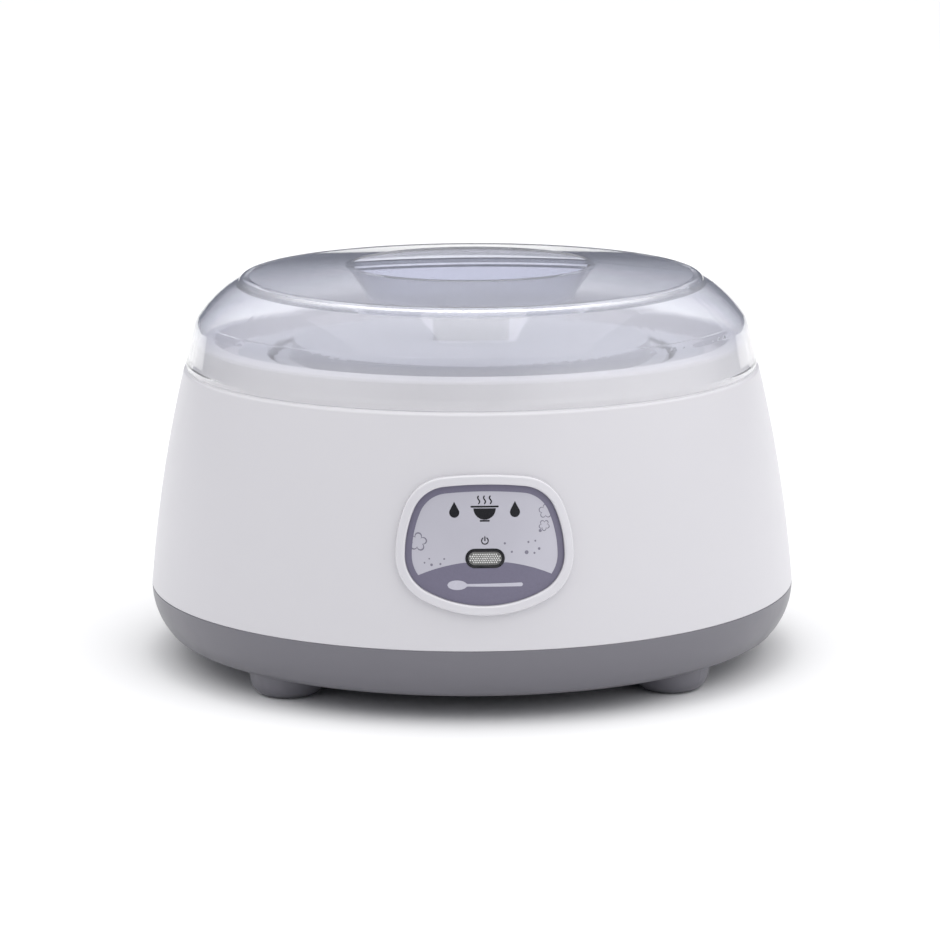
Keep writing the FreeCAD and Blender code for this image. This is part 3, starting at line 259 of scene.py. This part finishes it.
def clear_plastic(name, colour, roughness, haze=0.0, top=None, lets_light_in=False):
    """Clear moulded plastic with faint swirls. haze is the share that scatters light, and
    top a darker tint for what is higher than the lid's skirt: painted shade, which stands in
    for the shade seen through the upper lid."""
    made = Shades(name)
    swirl = made.noise(24, detail=4, stretch=(1, 1, 0.6))
    made.gloss(swirl, roughness * 0.8, roughness * 1.3)
    tint = made.colours(swirl, tone(colour, 0.985), tone(colour, 1.01))
    # painted shade: higher up, the tint turns to top's darker colour, standing in for the shade seen
    # through the lid
    if top:
        height = made.add("ShaderNodeSeparateXYZ")
        made.link(made.place, height, "Vector")
        rise = ramp(made.tree, height.outputs["Z"], LID_PAINTED_SHADE_FROM * MM, LID_PAINTED_SHADE_FULL * MM, 0, 1)
        painted_shade_tint = made.add("ShaderNodeMix", data_type="RGBA")
        made.link(tint, painted_shade_tint, "A")
        painted_shade_tint.inputs["B"].default_value = (*top, 1)
        made.link(rise, painted_shade_tint, "Factor")
        tint = painted_shade_tint.outputs["Result"]
    made.link(tint, made.shader, "Base Color")
    made.relief(made.noise(14, detail=2), 0.008)
    made.value(IOR=1.46, Transmission_Weight=1 - haze)
    if lets_light_in:
        # lamps shine in through the wall, as thin clear plastic lets them
        through = made.add("ShaderNodeBsdfTransparent")
        through.inputs["Color"].default_value = (0.99, 0.99, 1, 1)
        mix = made.add("ShaderNodeMixShader")
        made.link(made.add("ShaderNodeLightPath").outputs["Is Shadow Ray"], mix, "Fac")
        made.link(made.shader.outputs["BSDF"], mix, 1)
        made.link(through.outputs["BSDF"], mix, 2)
        made.link(mix.outputs["Shader"], made.tree.nodes["Material Output"], "Surface")
    return made.material


def metal(name, colour, roughness, brushed=(1, 1, 1)):
    """Sheet or turned metal with fine scratches along its brushing."""
    made = Shades(name)
    streaks = made.noise(1.4, detail=5, roughness=0.65, stretch=brushed)
    made.paint(streaks, colour, 0.9, 1.05)
    made.gloss(streaks, roughness * 0.8, roughness * 1.25)
    made.relief(streaks, 0.003)
    made.value(Metallic=1.0)
    return made.material


def rubber(name, colour):
    made = Shades(name)
    dust = made.noise(3, detail=6, roughness=0.7)
    made.paint(dust, colour, 0.8, 1.3)
    made.gloss(dust, 0.62, 0.82)
    made.relief(made.noise(0.5, detail=3), 0.02)
    return made.material


def mineral(name, colour, roughness, flecks):
    """Ceramic or mica: specks in the body and a slightly rough face."""
    made = Shades(name)
    specks = made.noise(flecks, detail=6, roughness=0.75)
    made.paint(specks, colour, 0.7, 1.15)
    made.gloss(specks, roughness * 0.7, roughness * 1.2)
    made.relief(specks, 0.02)
    return made.material


def silver_print(name, colour):
    """The badge's field: pearly foil under gloss, a little cloudy."""
    made = Shades(name)
    made.paint(made.noise(16, detail=3), colour, 0.95, 1.05)
    sparkle = made.noise(0.22, detail=2)
    made.gloss(sparkle, 0.29, 0.4)
    made.relief(sparkle, 0.002)
    made.value(Metallic=0.35, Coat_Weight=0.5, Coat_Roughness=0.08)
    return made.material


def ink(name, colour, roughness=0.32):
    """Screen-printed ink: an even colour with a slightly mottled lay-down."""
    made = Shades(name)
    mottle = made.noise(0.7, detail=4)
    made.paint(mottle, colour, 0.92, 1.08)
    made.gloss(mottle, roughness * 0.9, roughness * 1.15)
    made.relief(made.noise(0.3, detail=2), 0.0015)
    return made.material


def cad_materials():
    """The record's material slots, each with its procedural material. The casing's roughness
    stays above 0.28, because denoised renders had patches on it where it was lower."""
    return {
        "casing_white": moulded("casing_white", (0.61, 0.60, 0.625), 0.31, specular=0.3),
        "bezel_white": moulded("bezel_white", (0.63, 0.62, 0.65), 0.16, grain=1.4, coat=0.3),
        "tray_grey": moulded("tray_grey", (0.153, 0.149, 0.17), 0.34, spread=0.03),
        # painted shade: well_white and container_lid_white are white plastic given a darker colour
        # than the container's, for the shade they sit in under the lid
        "well_white": moulded("well_white", (0.42, 0.42, 0.445), 0.3),
        "container_white": moulded("container_white", (0.58, 0.58, 0.60), 0.3),
        "container_lid_white": moulded("container_lid_white", (0.39, 0.39, 0.415), 0.35),
        "inner_plastic": moulded("inner_plastic", (0.72, 0.7, 0.64), 0.4),
        "wire_insulation": moulded("wire_insulation", (0.75, 0.73, 0.7), 0.45, grain=0.4),
        "sleeve_plastic": moulded("sleeve_plastic", (0.1, 0.1, 0.1), 0.4, grain=0.4),
        # the lid's top colour is painted shade: its upper part is tinted darker than its skirt
        "lid_clear": clear_plastic("lid_clear", (0.98, 0.98, 0.985), 0.05, haze=0.08,
                                   top=(0.825, 0.833, 0.885), lets_light_in=True),
        "lens_clear": clear_plastic("lens_clear", (0.3, 0.3, 0.29), 0.12, haze=0.5),
        "lamp_glass": clear_plastic("lamp_glass", (0.95, 0.8, 0.7), 0.04),
        "bush_rubber": rubber("bush_rubber", (0.05, 0.05, 0.055)),
        "foot_rubber": rubber("foot_rubber", (0.12, 0.12, 0.13)),
        "heater_ceramic": mineral("heater_ceramic", (0.75, 0.74, 0.7), 0.5, 1.5),
        "mica": mineral("mica", (0.42, 0.33, 0.2), 0.3, 2.5),
        "rating_foil": metal("rating_foil", (0.7, 0.7, 0.72), 0.35, brushed=(0.05, 1, 1)),
        "plate_aluminium": metal("plate_aluminium", (0.78, 0.79, 0.8), 0.36, brushed=(0.08, 1, 1)),
        "clamp_steel": metal("clamp_steel", (0.6, 0.6, 0.6), 0.35),
        "fuse_metal": metal("fuse_metal", (0.75, 0.73, 0.68), 0.3),
        "brass_screws": metal("brass_screws", (0.75, 0.6, 0.3), 0.3),
        "steel_screws": metal("steel_screws", (0.66, 0.66, 0.68), 0.28),
        "label_print": silver_print("label_print", (0.55, 0.54, 0.60)),
    }


def dress_frame():
    """Gives every CAD node the material of its slot."""
    made = cad_materials()
    for node in frame["record"]["subparts"]:
        piece = frame["nodes"][node["node"]]
        for slot in piece.material_slots:
            slot.material = made[node["material_slot"]]


# ---------------------------------------------------------------- badge artwork


def arc(x, z, radius, start, end, steps):
    """Points on an arc, in millimetres; the angles are in degrees."""
    turns = [math.radians(start + (end - start) * step / steps) for step in range(steps + 1)]
    return [(x + radius * math.cos(turn), z + radius * math.sin(turn)) for turn in turns]


def badge_outline(inset):
    """The badge's outline, moved in by inset millimetres, clockwise from the top."""
    half = []
    for x, z, radius, start, end in BADGE_ARCS:
        steps = max(4, round(abs(start - end) * radius / OUTLINE_STEP))
        half += arc(x, z, radius - inset, start, end, steps)[:-1]
    half.append((0, BADGE_ARCS[-1][1] - BADGE_ARCS[-1][2] + inset))
    return half + [(-x, z) for x, z in reversed(half[1:-1])]


def circle(x, z, radius, steps=24):
    return arc(x, z, radius, 0, 360, steps)[:-1]


def stadium(x, z, half_length, radius, steps=16):
    return (arc(x + half_length, z, radius, -90, 90, steps)
            + arc(x - half_length, z, radius, 90, 270, steps))


def stroke(points, width):
    """A line of some width with round ends, as one closed outline."""
    points = [Vector(point) for point in points]
    left, right = [], []
    for index, point in enumerate(points):
        before, after = points[max(index - 1, 0)], points[min(index + 1, len(points) - 1)]
        along = (after - before).normalized()
        side = Vector((-along.y, along.x)) * width / 2
        left.append(tuple(point + side))
        right.append(tuple(point - side))

    def cap(point, along):
        turn = math.degrees(math.atan2(along.y, along.x))
        return arc(point.x, point.y, width / 2, turn + 90, turn - 90, 6)[1:-1]

    end = cap(points[-1], points[-1] - points[-2])
    start = cap(points[0], points[0] - points[1])
    return left + end + right[::-1] + start


class Face:
    """The outward face of a CAD node on the badge, and what is laid on it."""

    def __init__(self, node):
        data = frame["nodes"][node].data
        corners = [vertex.co for vertex in data.vertices]
        self.tree = BVHTree.FromPolygons(corners, [face.vertices for face in data.polygons])
        self.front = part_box(node)[0].y

    def depth(self, x, z):
        """How far along Y the face is at this place, in metres."""
        hit = self.tree.ray_cast(Vector((x, self.front - 10 * MM, z)), Vector((0, 1, 0)))[0]
        if hit is None:
            # just off the face's edge, or over the window: the nearest of its points stands in
            hit = self.tree.find_nearest(Vector((x, self.front, z)))[0]
        return hit.y

    def print(self, name, outlines, material, layer=1):
        """A thin layer of ink: closed outlines in millimetres, laid on the curved face."""
        mesh = bmesh.new()
        for outline in outlines:
            corners = [mesh.verts.new((x * MM, 0, z * MM)) for x, z in outline]
            for index, corner in enumerate(corners):
                mesh.edges.new((corner, corners[(index + 1) % len(corners)]))
        bmesh.ops.triangle_fill(mesh, use_beauty=True, use_dissolve=False, edges=mesh.edges[:],
                                normal=(0, -1, 0))
        for axis, pitch in ((0, CUT_PITCH_X * MM), (2, CUT_PITCH_Z * MM)):
            ends = [vertex.co[axis] for vertex in mesh.verts]
            normal = Vector((axis == 0, 0, axis == 2))
            for line in range(math.ceil(min(ends) / pitch), math.floor(max(ends) / pitch) + 1):
                bmesh.ops.bisect_plane(mesh, geom=mesh.verts[:] + mesh.edges[:] + mesh.faces[:],
                                       dist=1e-7, plane_co=normal * line * pitch, plane_no=normal)
        bmesh.ops.recalc_face_normals(mesh, faces=mesh.faces[:])
        if sum(face.normal.y * face.calc_area() for face in mesh.faces) > 0:
            bmesh.ops.reverse_faces(mesh, faces=mesh.faces[:])
        for vertex in mesh.verts:
            vertex.co.y = self.depth(vertex.co.x, vertex.co.z) - layer * INK_LIFT * MM
        thicken(mesh, INK_THICKNESS * MM)
        piece = mesh_piece(name, mesh, material)
        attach(piece, "base")


def thicken(mesh, thickness):
    """Makes a sheet a closed solid, by a copy behind it along Y and walls round its rim. It
    doesn't use Blender's extrude, whose order changes from run to run."""
    sheet = mesh.faces[:]
    rim = [edge for edge in mesh.edges if edge.is_boundary]
    back = Vector((0, thickness, 0))
    behind = {vertex: mesh.verts.new(vertex.co + back) for vertex in mesh.verts[:]}
    for face in sheet:
        mesh.faces.new([behind[vertex] for vertex in face.verts][::-1])
    for edge in rim:
        first, second = edge.verts
        mesh.faces.new((first, second, behind[second], behind[first]))
    bmesh.ops.recalc_face_normals(mesh, faces=mesh.faces[:])


def mesh_piece(name, mesh, material, smooth=None):
    """An object made from a bmesh, which is freed. Up to smooth degrees, its edges are soft."""
    data = bpy.data.meshes.new(name)
    mesh.to_mesh(data)
    mesh.free()
    piece = bpy.data.objects.new(name, data)
    bpy.context.scene.collection.objects.link(piece)
    data.materials.append(material)
    if smooth is not None:
        data.shade_smooth()
        data.set_sharp_from_angle(angle=math.radians(smooth))
    return piece


def blossom(x, z, radius, turn, petals=5):
    """One wavy outline with rounded petals; turn is in radians."""
    steps = petals * 16
    points = []
    for step in range(steps):
        angle = 2 * math.pi * step / steps
        reach = radius * (0.62 + 0.38 * abs(math.cos(petals * angle / 2)) ** 0.7)
        points.append((x + reach * math.cos(angle + turn), z + reach * math.sin(angle + turn)))
    return points


def outlined(shape, width):
    """A closed shape as a line of some width: its outline, and one drawn in towards its middle."""
    middle = [sum(point[axis] for point in shape) / len(shape) for axis in (0, 1)]
    inner = []
    for x, z in shape:
        across, up = x - middle[0], z - middle[1]
        share = 1 - width / math.hypot(across, up)
        inner.append((middle[0] + across * share, middle[1] + up * share))
    return [shape, inner]


def inside(point, inset):
    """True if a place on the label is inside the badge's outline moved in by inset."""
    x, z = abs(point[0]), point[1]
    for centre_x, centre_z, radius, start, end in BADGE_ARCS:
        angle = math.degrees(math.atan2(z - centre_z, x - centre_x))
        if end <= angle <= start:
            return math.hypot(x - centre_x, z - centre_z) <= radius - inset
    return False


def droplet(x, z, height):
    """A drop, point up: a circle whose top runs out to a tip."""
    radius = height * 0.32
    return arc(x, z - height / 2 + radius, radius, 152, 388, 20) + [(x, z + height / 2)]


def spoon(x, z, length, bowl_share=0.26, bowl=0.125, neck=0.026, end=0.05):
    """A spoon lying level, its bowl at the left. The widths are shares of its length."""
    upper = []
    for step in range(61):
        along = step / 60
        half = 0
        if along < bowl_share:
            half = bowl / 2 * math.sqrt(max(1 - (2 * along / bowl_share - 1) ** 2, 0))
        if along > bowl_share / 2:
            handle = neck / 2 + (end - neck) / 2 * along
            tip = max(0, (along - 1 + end / 2) / (end / 2))
            half = max(half, handle * math.sqrt(1 - tip ** 2))
        upper.append((x + (along - 0.5) * length, half * length))
    below = [(across, z - half) for across, half in reversed(upper[1:-1])]
    return [(across, z + half) for across, half in upper] + below


def bowl_outlines(z, width):
    """A steaming bowl in the middle: a half disc with a foot under a rim, and three wisps."""
    radius = width * 0.42
    rim, rim_height = width / 2, z + BOWL_LINE
    foot, foot_height = width * 0.16, z - radius - FOOT_GAP
    parts = [
        arc(0, z, radius, 180, 360, 28),
        stroke([(-rim, rim_height), (rim, rim_height)], BOWL_LINE),
        stroke([(-foot, foot_height), (foot, foot_height)], FOOT_LINE),
    ]
    for side in (-1, 0, 1):
        rises = [STEAM_HEIGHT * step / 12 for step in range(13)]
        middle = side * width * 0.22
        wave = [(middle + STEAM_SWAY * math.sin(up * STEAM_TURNS), z + STEAM_GAP + up)
                for up in rises]
        parts.append(stroke(wave, STEAM_LINE))
    return parts


def crest(x):
    """The height of the hill's top at x."""
    return HILL_CENTRE + math.sqrt(HILL_RADIUS ** 2 - x ** 2)


def hill_outline():
    """The darker field along the badge's foot, with a bay where the window's ring sits in it."""
    reach = WINDOW_RADIUS + RING_WIDTH - INK_OVERLAP
    rim_inset = BEZEL_WIDTH + BORDER_WIDTH - INK_OVERLAP

    def clear_of_window(x, z):
        return math.hypot(max(abs(x) - WINDOW_HALF_LENGTH, 0), z - WINDOW_HEIGHT) > reach

    top = []
    for step in range(41):
        x = HILL_HALF_WIDTH * (step / 20 - 1)
        if inside((x, crest(x)), rim_inset) and clear_of_window(x, crest(x)):
            top.append((x, crest(x)))
    bay = [point for point in (arc(-WINDOW_HALF_LENGTH, WINDOW_HEIGHT, reach, 180, 270, 12)
                               + arc(WINDOW_HALF_LENGTH, WINDOW_HEIGHT, reach, 270, 360, 12))
           if point[1] < crest(point[0])]
    rim = [point for point in badge_outline(rim_inset)
           if point[1] < crest(point[0]) - HILL_CORNER_GAP]
    rim.sort(key=lambda point: -math.atan2(point[0], WINDOW_HEIGHT - point[1]))
    left = [point for point in top if point[0] < 0]
    right = [point for point in top if point[0] > 0]
    return left + bay + right + rim


def badge_print(label):
    """Border, hill, window ring, ornaments and pictograms. No lettering."""
    violet = ink("ink_violet", (0.155, 0.145, 0.205))
    black = ink("ink_black", (0.012, 0.012, 0.014), 0.22)
    pale = ink("ink_pale", (0.5, 0.49, 0.56))
    line = ink("ink_line", (0.2, 0.19, 0.24))
    edge, border = BEZEL_WIDTH + INK_EDGE_GAP, BEZEL_WIDTH + BORDER_WIDTH

    label.print("print_border", [badge_outline(edge), badge_outline(border)], violet, layer=2)
    label.print("print_hill", [hill_outline()], violet)
    label.print("print_window_ring", [
        stadium(0, WINDOW_HEIGHT, WINDOW_HALF_LENGTH, WINDOW_RADIUS + RING_WIDTH),
        stadium(0, WINDOW_HEIGHT, WINDOW_HALF_LENGTH, WINDOW_RADIUS + INK_LIFT),
    ], black, layer=3)

    for index, outline in enumerate(bowl_outlines(BOWL_HEIGHT, BOWL_WIDTH)):
        label.print(f"print_bowl_{index}", [outline], black)
    for name, side in (("left", -1), ("right", 1)):
        drop = droplet(side * DROP_SIDE, DROP_MIDDLE, DROP_HEIGHT)
        label.print(f"print_drop_{name}", [drop], black)
    power = arc(0, POWER_HEIGHT, POWER_RADIUS, 90 + POWER_GAP, 450 - POWER_GAP, 20)
    label.print("print_power_ring", [stroke(power, POWER_LINE)], black)
    bar = [(0, POWER_HEIGHT + end) for end in POWER_BAR]
    label.print("print_power_bar", [stroke(bar, POWER_LINE)], black)
    label.print("print_spoon", [spoon(0, SPOON_HEIGHT, SPOON_LENGTH)], pale, layer=2)

    for index, (x, z, radius) in enumerate(BUBBLES):
        label.print(f"print_bubble_{index}", [circle(x, z, radius)], line)
    for index, (x, z, radius, turn, width) in enumerate(BLOSSOMS):
        label.print(f"print_blossom_{index}", outlined(blossom(x, z, radius, turn), width), line)


def lens_domes(lens):
    """Rows of tiny domes over the indicator's lens, which spread the lamp's light. Their
    colour, lighter than the lens, is a painted highlight.
    """
    mesh = bmesh.new()
    rise = DOME_PITCH * math.sqrt(3) / 2
    rows = math.floor((WINDOW_RADIUS - DOME_RADIUS) / rise)
    for row in range(-rows, rows + 1):
        z = WINDOW_HEIGHT + row * rise
        room = WINDOW_RADIUS - DOME_RADIUS - DOME_EDGE_GAP
        reach = WINDOW_HALF_LENGTH + math.sqrt(max(room ** 2 - (row * rise) ** 2, 0))
        start = 0.5 * DOME_PITCH if row % 2 else 0
        columns = math.floor((reach - start) / DOME_PITCH)
        places = {side * (start + column * DOME_PITCH)
                  for column in range(columns + 1) for side in (-1, 1)}
        for x in sorted(places):
            place = Vector((x * MM, lens.depth(x * MM, z * MM), z * MM))
            shape = Matrix.Translation(place) @ Matrix.Diagonal((1, DOME_FLATTEN, 1, 1))
            bmesh.ops.create_icosphere(mesh, subdivisions=2, radius=DOME_RADIUS * MM, matrix=shape)
    # painted highlight: the domes, moulded in the lens, are coloured far lighter than it, as bright
    # dots
    painted_glint_plastic = clear_plastic("lens_domes", (0.85, 0.85, 0.83), 0.1, haze=0.75)
    piece = mesh_piece("lens_domes", mesh, painted_glint_plastic, smooth=60)
    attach(piece, "base")


# ---------------------------------------------------------------- studio


def floor():
    """A plain pale floor that reaches past everything the camera sees."""
    mesh = bmesh.new()
    bmesh.ops.create_grid(mesh, x_segments=24, y_segments=24, size=FLOOR_SIZE)
    made = Shades("floor_paper")
    made.paint(made.noise(900, detail=2), FLOOR_WHITE, 0.99, 1)
    made.value(Roughness=0.9, Specular_IOR_Level=0.0)
    mesh_piece("floor", mesh, made.material)


def softbox(name, place, size, power):
    """A rectangular lamp that shines straight down."""
    light = bpy.data.lights.new(name, "AREA")
    light.shape = "RECTANGLE"
    light.size, light.size_y = size
    light.energy = power
    lamp = bpy.data.objects.new(name, light)
    bpy.context.scene.collection.objects.link(lamp)
    lamp.location = place


def surroundings():
    """A world that brightens towards the top, with wide lights that fade out at their edges."""
    world = bpy.data.worlds.new("studio")
    world.use_nodes = True
    tree = world.node_tree
    ray = tree.nodes.new("ShaderNodeTexCoord").outputs["Generated"]
    split = tree.nodes.new("ShaderNodeSeparateXYZ")
    tree.links.new(ray, split.inputs["Vector"])
    mix = tree.nodes.new("ShaderNodeMix")
    mix.data_type = "RGBA"
    mix.inputs["A"].default_value = (*SKY_LOW, 1)
    mix.inputs["B"].default_value = (*SKY_HIGH, 1)
    tree.links.new(ramp(tree, split.outputs["Z"], *SKY_CHANGE, 0, 1), mix.inputs["Factor"])
    light = mix.outputs["Result"]
    for direction, strength, full, faded in GLOWS:
        towards = tree.nodes.new("ShaderNodeVectorMath")
        towards.operation = "DOT_PRODUCT"
        towards.inputs[1].default_value = Vector(direction).normalized()
        tree.links.new(ray, towards.inputs[0])
        edge, core = math.cos(math.radians(faded)), math.cos(math.radians(full))
        glow = ramp(tree, towards.outputs["Value"], edge, core, 0, strength)
        add = tree.nodes.new("ShaderNodeVectorMath")
        add.operation = "ADD"
        tree.links.new(light, add.inputs[0])
        tree.links.new(glow, add.inputs[1])
        light = add.outputs["Vector"]
    tree.links.new(light, tree.nodes["Background"].inputs["Color"])
    bpy.context.scene.world = world


def studio():
    surroundings()
    for lamp in LAMPS:
        softbox(*lamp)
    bpy.context.scene.view_settings.view_transform = "Standard"


def camera():
    """At the height, distance and angle worked out for the photograph, with its slight roll."""
    data = bpy.data.cameras.new("camera")
    data.lens = LENS
    data.clip_start, data.clip_end = 0.05, 60
    eye = bpy.data.objects.new("camera", data)
    bpy.context.scene.collection.objects.link(eye)
    eye.location = (CAMERA_DISTANCE * math.sin(CAMERA_AZIMUTH),
                    -CAMERA_DISTANCE * math.cos(CAMERA_AZIMUTH), CAMERA_HEIGHT)
    aim = Vector((AIM_SIDE * math.cos(CAMERA_AZIMUTH),
                  AIM_SIDE * math.sin(CAMERA_AZIMUTH), AIM_HEIGHT))
    look = (aim - eye.location).to_track_quat("-Z", "Y").to_matrix().to_4x4()
    eye.rotation_euler = (look @ Matrix.Rotation(CAMERA_ROLL, 4, "Z")).to_euler()
    bpy.context.scene.camera = eye


camera()
studio()
floor()
dress_frame()
badge_print(Face("badge_label"))
lens_domes(Face("indicator_lens"))
